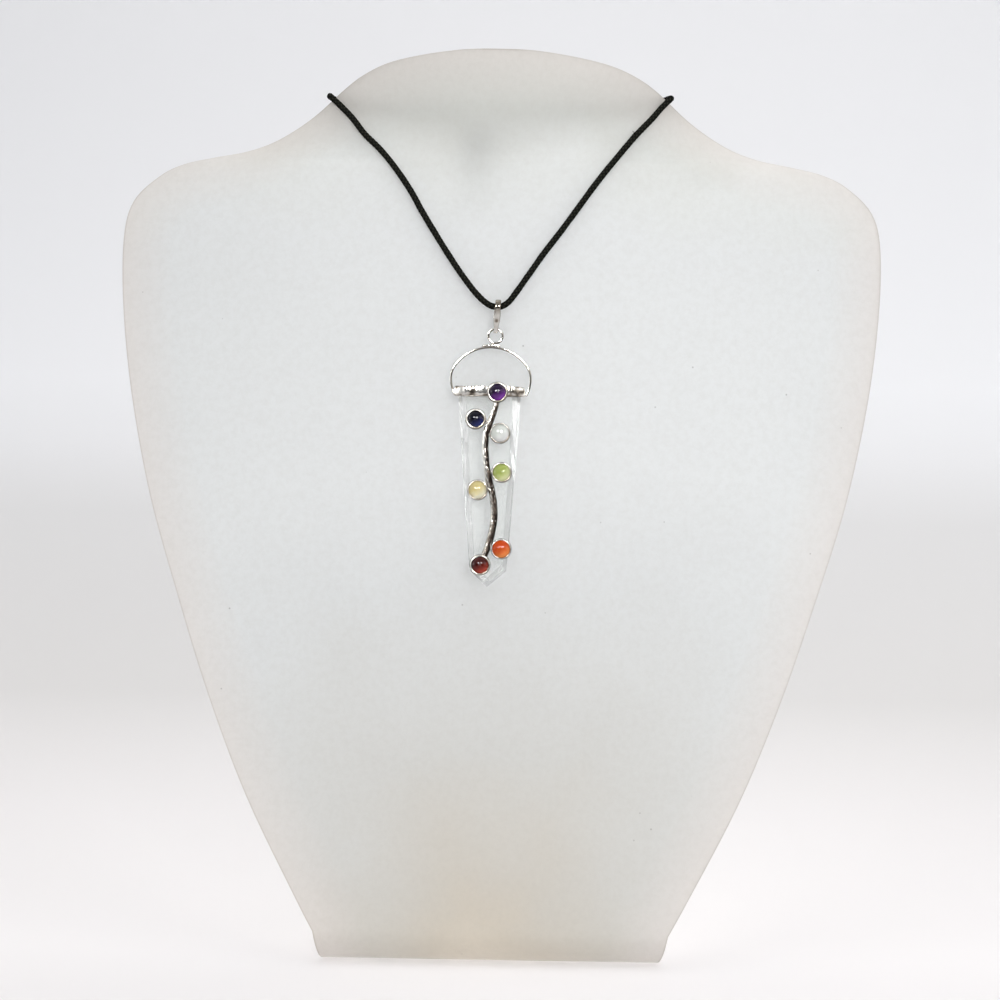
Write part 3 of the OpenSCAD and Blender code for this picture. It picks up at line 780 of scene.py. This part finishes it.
# Only the outer face is crowned and dished
depth = COLLAR_T / 2 * thick - np.clip(thick, 0, 1) * (0.16 * high ** 2 + 0.11 * dish)
long = at[:, None] * 0.8
edge = high * (COLLAR_H / 2 + 0.08 * lumps(long, np.sign(high) * 3 + 7, 12))
flat_ring = loop[:, None] + outward[:, None] * depth[..., None] + [COLLAR_X, 0]
collar = np.concatenate([flat_ring, COLLAR_Z + edge[..., None]], -1)
film_and_shade = 0.8 * np.clip(lumps(long, high * 1.1 + 5, 13) * 2 - 0.5, 0, 1) \
    + 0.5 * np.clip(np.abs(high) * 3 - 2.2, 0, 1)
# Three stains on the front: where along it, how wide, how dark
for across, wide, dark in ((-5.5, 0.75, 1.0), (3.9, 0.7, 0.6), (5.7, 0.5, 0.45)):
    near = np.exp(-((collar[..., 0] - across) / wide) ** 2) * (collar[..., 1] < 0)
    film_and_shade = film_and_shade + dark * near * (0.75 + 0.5 * lumps(at[:, None] * 1.8, high * 2 + 9, 14))
silver_piece("hammered_collar", collar, {"tarnish_and_shade": np.clip(film_and_shade, 0, 0.8)}, satin, ring=True)

# %% [markdown]
# The bezel cups
#
# Each stone sits in a cup of thin strip, whose rim is rubbed over onto it. The cup is a
# profile turned on a lathe: the outer wall, the rounded rim that leans in, and the seat inside.
# No rim that is rubbed by hand is quite round, so its height and width waver.

# %% Turned shapes
QUARTZ_HALF_T, GAP, ON_COLLAR = 2.5, 0.1, 0.45
QUARTZ_FRONT = -QUARTZ_HALF_T - GAP
CUP_ROUND, WALL_R = 72, 2.55
# Place across and up, how far in front of the quartz it sits, and how far its rim reaches in
STONES = {
    "amethyst": (0.8, -14.4, ON_COLLAR, 2.06), "iolite": (-4.6, -21.2, 0, 2.0),
    "moonstone": (1.6, -24.7, 0, 2.24), "peridot": (2.2, -34.6, 0, 2.16),
    "citrine": (-3.8, -39.1, 0, 2.2), "carnelian": (2.4, -53.9, 0, 2.2),
    "garnet": (-2.85, -58, 0, 2.14)}


def turned(profile, count, seed, waver):
    """A profile [radius, height] turned round its axis; waver changes height and radius a
    little round the rim."""
    turn = steps_round(count)
    r, h = profile[:, :1], profile[:, 1:]
    uneven = lumps(np.cos(turn) * 1.6 + seed, np.sin(turn) * 1.6 + 20, seed)
    r, h = r * (1 + waver * uneven), h + h * waver * 2 * np.roll(uneven, count // 3)
    return coords(r * np.cos(turn), r * np.sin(turn), h)


def facing_front(points, across, depth, up):
    """Turns an upright shape to face the front and stands it on a plane at this depth."""
    return coords(across + points[..., 0], depth - points[..., 2], up + points[..., 1])


def cup_profile(rim):
    """The cup's wall from the middle of its floor out, up, over the rim that leans in as far
    as the radius rim, and back down inside to the seat."""
    inner, lip = rim + 0.06, (WALL_R - rim) / 2
    return smooth_path([
        [0, 0], [WALL_R - 0.1, 0], [WALL_R - 0.02, 0.08], [WALL_R, 0.6], [WALL_R, 1.1],
        [WALL_R - 0.25 * lip, 1.35], [WALL_R - lip, 1.5], [rim + 0.3 * lip, 1.47], [rim, 1.38],
        [inner, 1.2], [inner, 0.9], [inner, 0.5], [inner - 0.06, 0.4], [0, 0.4]], 0.06)[0]


# %% The cups
# Painted shade darkens the lower right side of each cup, away from the light
least = 0.4 * np.clip(np.cos(steps_round(CUP_ROUND) + np.radians(55)), 0, 1)
for k, (name, (across, up_at, forward, rim)) in enumerate(STONES.items()):
    profile = cup_profile(rim)
    wall = turned(profile, CUP_ROUND, 30 + k, 0.01)
    # Painted shade grows away from the middle of the rim, most on the rim's own two flanks, and
    # outlines each cup
    away = np.abs(profile[:, 0] - (WALL_R + rim) / 2) / (WALL_R - rim) * 2
    film_and_shade = np.clip(away - 0.55, 0, 1) * np.where(profile[:, 1] > 1.3, 1.6, 1.2)
    silver_piece("bezel_" + name, facing_front(wall, across, QUARTZ_FRONT - forward, up_at),
                 {"tarnish_and_shade": np.clip(0.14 + film_and_shade[:, None] + least, 0, 0.9)}, brushed)

# %% [markdown]
# The branch
#
# A thick wire was flattened to a half-round, textured all over with a fine punch, and darkened
# with liver of sulphur. The polishing wheel then took the black off the highest specks, and the
# left flank, which faces the light, is painted bright and smooth as painted light. The section
# is a low arch swept along a winding line. Its texture is three sizes of lumps that run along
# the branch like bark, and how far each point is polished, with the painted light, is kept as
# an attribute, from which the finish is worked out.

# %% Material: oxidised silver
oxidised, tree, sockets = new_material("oxidised silver", {"Metallic": 1.0})
# The attribute holds the polish and the painted light on the left flank
polished = add(tree, "Attribute", gives="Fac", attribute_name="polished")
add(tree, "ValToRGB", {"Fac": polished}, into=sockets["Base Color"],
    stops=[(0.15, "#221c19"), (0.5, "#5c524a"), (0.7, "#b9b3aa"), (0.95, "#efece6")])
add(tree, "MapRange", {"Value": polished, "To Min": 0.5, "To Max": 0.15},
    into=sockets["Roughness"])

# %% The branch's section
BRANCH = np.array([[0.9, -16.2], [-0.45, -20.7], [-1.75, -24.1], [-2.05, -27.5], [-1.85, -31],
                   [-1.2, -35.6], [-0.2, -39.4], [0.45, -43.5], [0.35, -47.5], [-0.55, -52],
                   [-1.8, -55.6]])
HALF_W, ARCH_H, SUNK, BACK_POINTS, BRANCH_ROUND = 0.85, 1.2, 0.04, 8, 56
line, at = smooth_path(BRANCH, 0.09)
turn = np.linspace(0, np.pi, BRANCH_ROUND - BACK_POINTS)
arch = np.vstack([coords(np.cos(turn), 0.12 + 0.88 * np.sin(turn) ** 0.8),
                  coords(np.linspace(-0.96, 0.96, BACK_POINTS), 0)])
long, round_it = at[:, None], np.arange(BRANCH_ROUND) / BRANCH_ROUND
bark = 0.55 * lumps(long * 0.8 + 2 * round_it, round_it * 8, 41) \
    + 0.4 * lumps(long * 1.9, round_it * 13, 42) + 0.15 * lumps(long * 4, round_it * 22, 43)
top = np.clip(arch[:, 1] * 1.4 - 0.3, 0, 1)
# The wire starts narrower, under the collar
grown = np.minimum(1, 0.8 + long / at[-1])
reach = HALF_W * grown * (1 + 0.06 * lumps(long * 0.6, 0 * long, 44))
across = (arch[:, 0] * reach * (1 + 0.04 * bark))[..., None]
rise = arch[:, 1] * ARCH_H * (1 + 0.1 * bark * top)
print("branch", round(at[-1], 1), "mm long")

# %% The branch
way = unit(np.gradient(line, axis=0))
flat_branch = line[:, None] + coords(-way[:, 1], way[:, 0])[:, None] * across
branch = coords(flat_branch[..., 0], QUARTZ_FRONT - SUNK - rise, flat_branch[..., 1])
branch = closed_off(branch, branch[0].mean(0), branch[-1].mean(0))
# Painted light brightens the left flank, most over the upper half; the wheel polished the
# highest specks, and the branch is a little brighter near its top
flank_light_along = np.interp(long / at[-1], [0, 0.1, 0.52, 0.65, 1], [0.6, 1, 1, 0.5, 0.4])
lit_flank = np.clip((0.02 - arch[:, 0]) * 2.6, 0, 1) * flank_light_along
specks = np.clip(lumps(long * 2.3, round_it * 17, 45) * 3 - 1.5, 0, 1) * top
polish_and_light = 0.15 + 0.3 * np.exp(-(long / 6) ** 2) + 0.45 * bark + 1.1 * lit_flank + specks
silver_piece("oxidised_branch", branch, {"polished": with_ends(np.clip(polish_and_light, 0, 1))},
             oxidised)

# %% [markdown]
# Solder
#
# Where a cup touches the branch a drop of solder joins them. It is a low round bead, a little
# lumpy, half sunk between the two.

# %% Solder beads
BEADS = [[-1.95, -21.9], [-1, -25], [-0.4, -34.4], [-1.2, -38.7], [-0.25, -53.3], [-2, -55.9]]
BEAD_R, BEAD_H, BEAD_ROUND = 0.62, 0.85, 28
quarter = on_circle(np.linspace(0, np.pi / 2, 12)) * [BEAD_R, BEAD_H] + [0, 0.1]
profile = np.vstack([[0, 0], quarter])
beads = np.stack([facing_front(turned(profile, BEAD_ROUND, 50 + k, 0.1), x,
                               QUARTZ_FRONT - 0.05, z) for k, (x, z) in enumerate(BEADS)])
silver_piece("solder_beads", beads)

# %% [markdown]
# The bail
#
# The bail is a strap of silver, bent into a drop with a large loop at the top for the cord and
# a small one at the foot for the ring. Its middle line is two arcs and the lines that touch
# both. Its section is a rounded rectangle, thicker at the top, and as wide as the outline seen
# from the front.

# %% The bail's middle line
TOP_R, FOOT_R, REACH, BAIL_ROUND = 1.725, 0.85, 5.4, 32
BAIL_FOOT, BAIL_TILT = np.array([-1.05, -3.4, 163.55]), np.radians(4)
tilt = np.arcsin((TOP_R - FOOT_R) / REACH)
foot_out = on_circle(np.linspace(np.pi + tilt, 2 * np.pi - tilt, 24))
top_out = on_circle(np.linspace(-tilt, np.pi + tilt, 40))
foot_arc, top_arc = FOOT_R * foot_out, TOP_R * top_out + [0, REACH]
share = np.linspace(0, 1, 14)[1:-1, None]
right = foot_arc[-1] + share * (top_arc[0] - foot_arc[-1])
left = top_arc[-1] + share * (foot_arc[0] - top_arc[-1])
middle = np.vstack([foot_arc, right, top_arc, left])
outward = np.vstack([foot_out, np.repeat(top_out[:1], len(right), 0), top_out,
                     np.repeat(top_out[-1:], len(left), 0)])

# %% The bail
height = middle[:, 1, None]
thick, wide = rounded_section(BAIL_ROUND, 0.55)
# Height and half width of the outline seen from the front
OUTLINE = [[-1.2, 0.5], [0.6, 0.62], [2.6, 0.86], [4.1, 0.84], [5.6, 0.68], [7.6, 0.76]]
outline = smooth_path(OUTLINE, 0.2)[0]
half_w = np.interp(height, outline[:, 0], outline[:, 1])
swell = 1 + 0.06 * lumps(height * 0.9, wide * 1.2 + 4, 61)
deep = np.interp(height, [0, REACH], [0.25, 0.37]) * thick * swell
strap = np.concatenate([(half_w * wide)[..., None],
                        middle[:, None] + outward[:, None] * deep[..., None]], -1)
# It hangs a few degrees out of plumb, with its top to the right
strap[..., 0] += np.tan(BAIL_TILT) * (strap[..., 2] - 2)
# Tarnish stays in the fold above the foot, the bail is darker over the loop, and painted shade
# runs along the right edge, away from the light
fold = 0.95 * np.exp(-((height - 2.05) / 0.4) ** 2) * np.clip(1.3 - 1.6 * np.abs(wide), 0, 1)
film_and_shade = np.maximum(fold, np.interp(height, [0.2, 1.2, 3.4, 4.6, 6], [0.1, 0, 0, 0.4, 0.6]))
film_and_shade = np.maximum(film_and_shade, 0.9 * np.clip(4 * wide - 3.2, 0, 1))
make_piece("silver_bail", on_face(strap + BAIL_FOOT), silver, "hanger", "bail",
           {"tarnish_and_shade": film_and_shade}, ring=True)

# %% [markdown]
# Rock crystal
#
# The point is clear quartz, ground to a flat table with bevelled sides and polished. Quartz
# bends light by 1.544, so the facets along the bevels gather bright and dark streaks from all
# round, while the table shows what lies behind. The CAD solid already has each facet, flat and
# sharp, and keeps its own mesh.

# %% Material: clear quartz
crystal, tree, sockets = new_material("polished rock crystal", {
    "Base Color": srgb("#fbfdfb"), "Roughness": 0.0, "IOR": 1.544, "Transmission Weight": 1.0})
# Light that bounces inside for long is lost here, and a clear share stands for it
lets_light_through(tree, clear=0.4)
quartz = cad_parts["quartz_point"]
quartz.data.materials.clear()
quartz.data.materials.append(crystal)

# %% [markdown]
# The stones
#
# Seven low domes, 4.2 mm across, each a different quartz, feldspar or garnet. They are
# polished, so each shows small sharp highlights. The clear ones let light through to the
# silver seat below, and the milky ones scatter it inside. Each dome's colour also holds a
# painted glow at the side away from the light, where a clear dome gathers it. Each is a
# Principled shader with its own share of transmission and of scattering below the surface.

# %% The dome
# Deep colour, painted lit colour, transmission, scattering below the surface, refractive
# index, cloudiness, and how strongly the surface mirrors: deep stones show the pale tent less
GEMS = {
    "amethyst": ("#26063a", "#963ec0", 0.4, 0.1, 1.544, 0.35, 0.2),
    "iolite": ("#04061a", "#182468", 0.2, 0.1, 1.54, 0.3, 0.2),
    "moonstone": ("#eef3ec", "#ffffff", 0.3, 0.6, 1.52, 0.5, 0.5),
    "peridot": ("#b9c869", "#f3f6bf", 0.3, 0.5, 1.65, 0.5, 0.4),
    "citrine": ("#eadb9f", "#fffae0", 0.3, 0.5, 1.544, 0.5, 0.5),
    "carnelian": ("#d44a03", "#f08c3c", 0.15, 0.5, 1.54, 0.5, 0.35),
    "garnet": ("#440b05", "#ac3014", 0.15, 0.2, 1.74, 0.3, 0.15)}
STONE_R, SIDE_H, DOME_H, SEAT_H = 2.1, 0.7, 1.5, 0.43
dome_r = (STONE_R ** 2 + DOME_H ** 2) / (2 * DOME_H)
turn = np.linspace(np.arcsin(STONE_R / dome_r), 0, 24)
curve = dome_r * coords(np.sin(turn), np.cos(turn)) + [0, SIDE_H + DOME_H - dome_r]
profile = np.vstack([[[0, 0], [1.9, 0], [2.05, 0.05], [STONE_R, 0.15], [STONE_R, 0.45],
                      [STONE_R, SIDE_H]], curve[1:]]) + [0, SEAT_H]
# Painted light: a clear dome works as a lens and lays the light from above left on its lower
# right side, and that glow is painted into every dome's colour
towards = profile[:, :1] / STONE_R * np.cos(steps_round(CUP_ROUND) + np.radians(62))
painted_glow = np.clip(0.2 + 0.55 * towards + 0.5 * np.clip(towards - 0.35, 0, 1), 0, 1)
print("dome", round(profile[-1, 1], 2), "mm above the quartz")


# %% The stones
def gemstone(name, deep, bright, clear, milky, index, cloud, mirror):
    """A polished stone, whose colour runs from deep to bright with the painted glow of the light
    that gathers in it, and with soft clouds of a millimetre or so."""
    gem, tree, sockets = new_material("polished " + name, {
        "Roughness": 0.02, "IOR": index, "Specular IOR Level": mirror,
        "Transmission Weight": clear, "Subsurface Weight": milky,
        "Subsurface Radius": (1, 1, 1), "Subsurface Scale": 1.5 * MM})
    place = add(tree, "TexCoord", gives="Object")
    veil = add(tree, "TexNoise", {"Vector": place, "Scale": 1 / (1.3 * MM), "Detail": 3})
    glow = add(tree, "Attribute", gives="Fac", attribute_name="painted_glow")
    glow = add(tree, "Math", {0: veil, 1: cloud, 2: glow}, operation="MULTIPLY_ADD")
    add(tree, "ValToRGB", {"Fac": glow}, into=sockets["Base Color"],
        stops=[(0.1 + cloud / 2, deep), (0.85 + cloud / 2, bright)])
    return gem


for k, (name, look) in enumerate(GEMS.items()):
    across, up_at, forward, rim = STONES[name]
    # Each dome just fills its own bezel
    dome = turned(profile * [(rim + 0.04) / STONE_R, 1], CUP_ROUND, 70 + k, 0.004)
    make_piece(name + "_dome",
               on_pendant(facing_front(dome, across, QUARTZ_FRONT - forward, up_at)),
               gemstone(name, *look), "pendant", name + "_cabochon", {"painted_glow": painted_glow})

# %% [markdown]
# The studio
#
# The bust stands in a white light tent: a pale sweep of card under and behind it, soft light
# from all sides, and two small windows of light above the camera that show as a pair of dots on
# every dome. Light and shade are painted into the card's colour, to even out what the lamps do
# to it: it is greyer under the front lamp and, as painted shade, a step behind the bust, and
# white near the bust and far behind it.

# %% The sweep
card, tree, sockets = new_material("white card", {"Roughness": 0.9, "Specular IOR Level": 0.0})
depth = add(tree, "SeparateXYZ", {"Vector": add(tree, "TexCoord", gives="Object")}, gives="Y")
depth = add(tree, "MapRange", {"Value": depth, "From Min": -1.0, "From Max": 1.0})
# Painted light and shade along the card, from front to back
add(tree, "ValToRGB", {"Fac": depth}, into=sockets["Base Color"], stops=[
    (0.0, "#f7f4f4"), (0.1, "#bdbbbb"), (0.33, "#bdbbbb"), (0.49, "#f2efef"),
    (0.55, "#e8e5e5"), (0.62, "#dad8d7"), (0.8, "#e1e0e0"), (0.98, "#f8f8fa")])
# From the front edge along the floor, round a bend half a metre in radius, and up, in metres
turn = np.linspace(0, np.pi / 2, 24)
bend = coords(0.8 + 0.5 * np.sin(turn), 0.5 - 0.5 * np.cos(turn))
side_line = np.vstack([[-4, 0], bend, [1.3, 2.6]])
sweep_points = coords([-4, 4], side_line[:, :1], side_line[:, 1:])
make_surface("sweep", sweep_points,
                      grid_faces(sweep_points.shape[:2], columns_close=False), card)

# %% [markdown]
# Lamps and tent
#
# Each lamp is a soft square. Those that shape the dull surfaces needn't show in the shiny ones,
# and the windows only show. The tent itself is the world's colour: panels of pale cloth with
# darker gaps between them, which silver needs to look like silver.

# %% The lights
def soft_light(name, azimuth, elevation, distance, size, power, lights=True, shows=True,
               at=on_pendant([0, 0, -35])):
    """A square area light that looks at the pendant, or another place, from an azimuth and an
    elevation in degrees from the camera's own direction. It lights the dull surfaces, or
    shows in the shiny ones, or both."""
    light = put(name, bpy.data.lights.new(name, "AREA"))
    light.data.size, light.data.energy = size, power
    a, e = np.radians(azimuth), np.radians(elevation) + LEAN
    out = np.array([np.sin(a) * np.cos(e), -np.cos(a) * np.cos(e), np.sin(e)])
    look_against(light, at + distance * out, out)
    light.visible_diffuse, light.visible_glossy = lights, shows
    print("lamp:", name)


soft_light("left window", -25, 21, 1.4, 0.42, 20, lights=False)
soft_light("right window", 21, 24, 1.4, 0.42, 20, lights=False)
soft_light("side of the tent", 68, 12, 1.0, 0.6, 1.2)
soft_light("front fill", 8, 6, 0.9, 0.5, 3.2, shows=False)
soft_light("bright cloth", -94, -4, 1.0, 0.3, 1.1, lights=False)
soft_light("top fill", 0, 65, 1.2, 1.0, 3.8, shows=False)
soft_light("backdrop light", 12, 50, 1.2, 1.0, 6, shows=False, at=np.array([0.1, 1.1, 0.3]))

# %% The tent
world = bpy.data.worlds.new("light tent")
bpy.context.scene.world = world
world.use_nodes = True
tree, sockets = world.node_tree, world.node_tree.nodes["Background"].inputs
way = add(tree, "TexCoord", gives="Generated")
# The tent is open round the camera, where the dim room shows: below 0 ahead, 0.85 at the side
ahead = add(tree, "SeparateXYZ", {"Vector": way}, gives="Y")
ahead = add(tree, "Math", {0: ahead, 1: 1.6, 2: 0.85}, operation="MULTIPLY_ADD")
# Panels of cloth and the gaps between them, each about 30 degrees wide
panels = add(tree, "TexNoise", {"Vector": way, "Scale": 1.8, "Detail": 1})
panels = add(tree, "Math", {0: panels, 1: 0.8, 2: ahead}, operation="MULTIPLY_ADD")
panels = add(tree, "ValToRGB", {"Fac": panels}, stops=[
    (0.05, "#606264"), (0.2, "#8f9193"), (0.45, "#f2f3f4"), (0.7, "#d4d6d8"), (1.0, "#ffffff")])
# Past the card's edge the eye meets a plain pale backdrop
seen = add(tree, "LightPath", gives="Is Camera Ray")
add(tree, "Mix", {0: seen, 6: panels, 7: "#fafafa"}, gives=2, into=sockets["Color"],
    data_type="RGBA")
sockets["Strength"].default_value = 0.73
bpy.context.scene.view_settings.view_transform = "Standard"
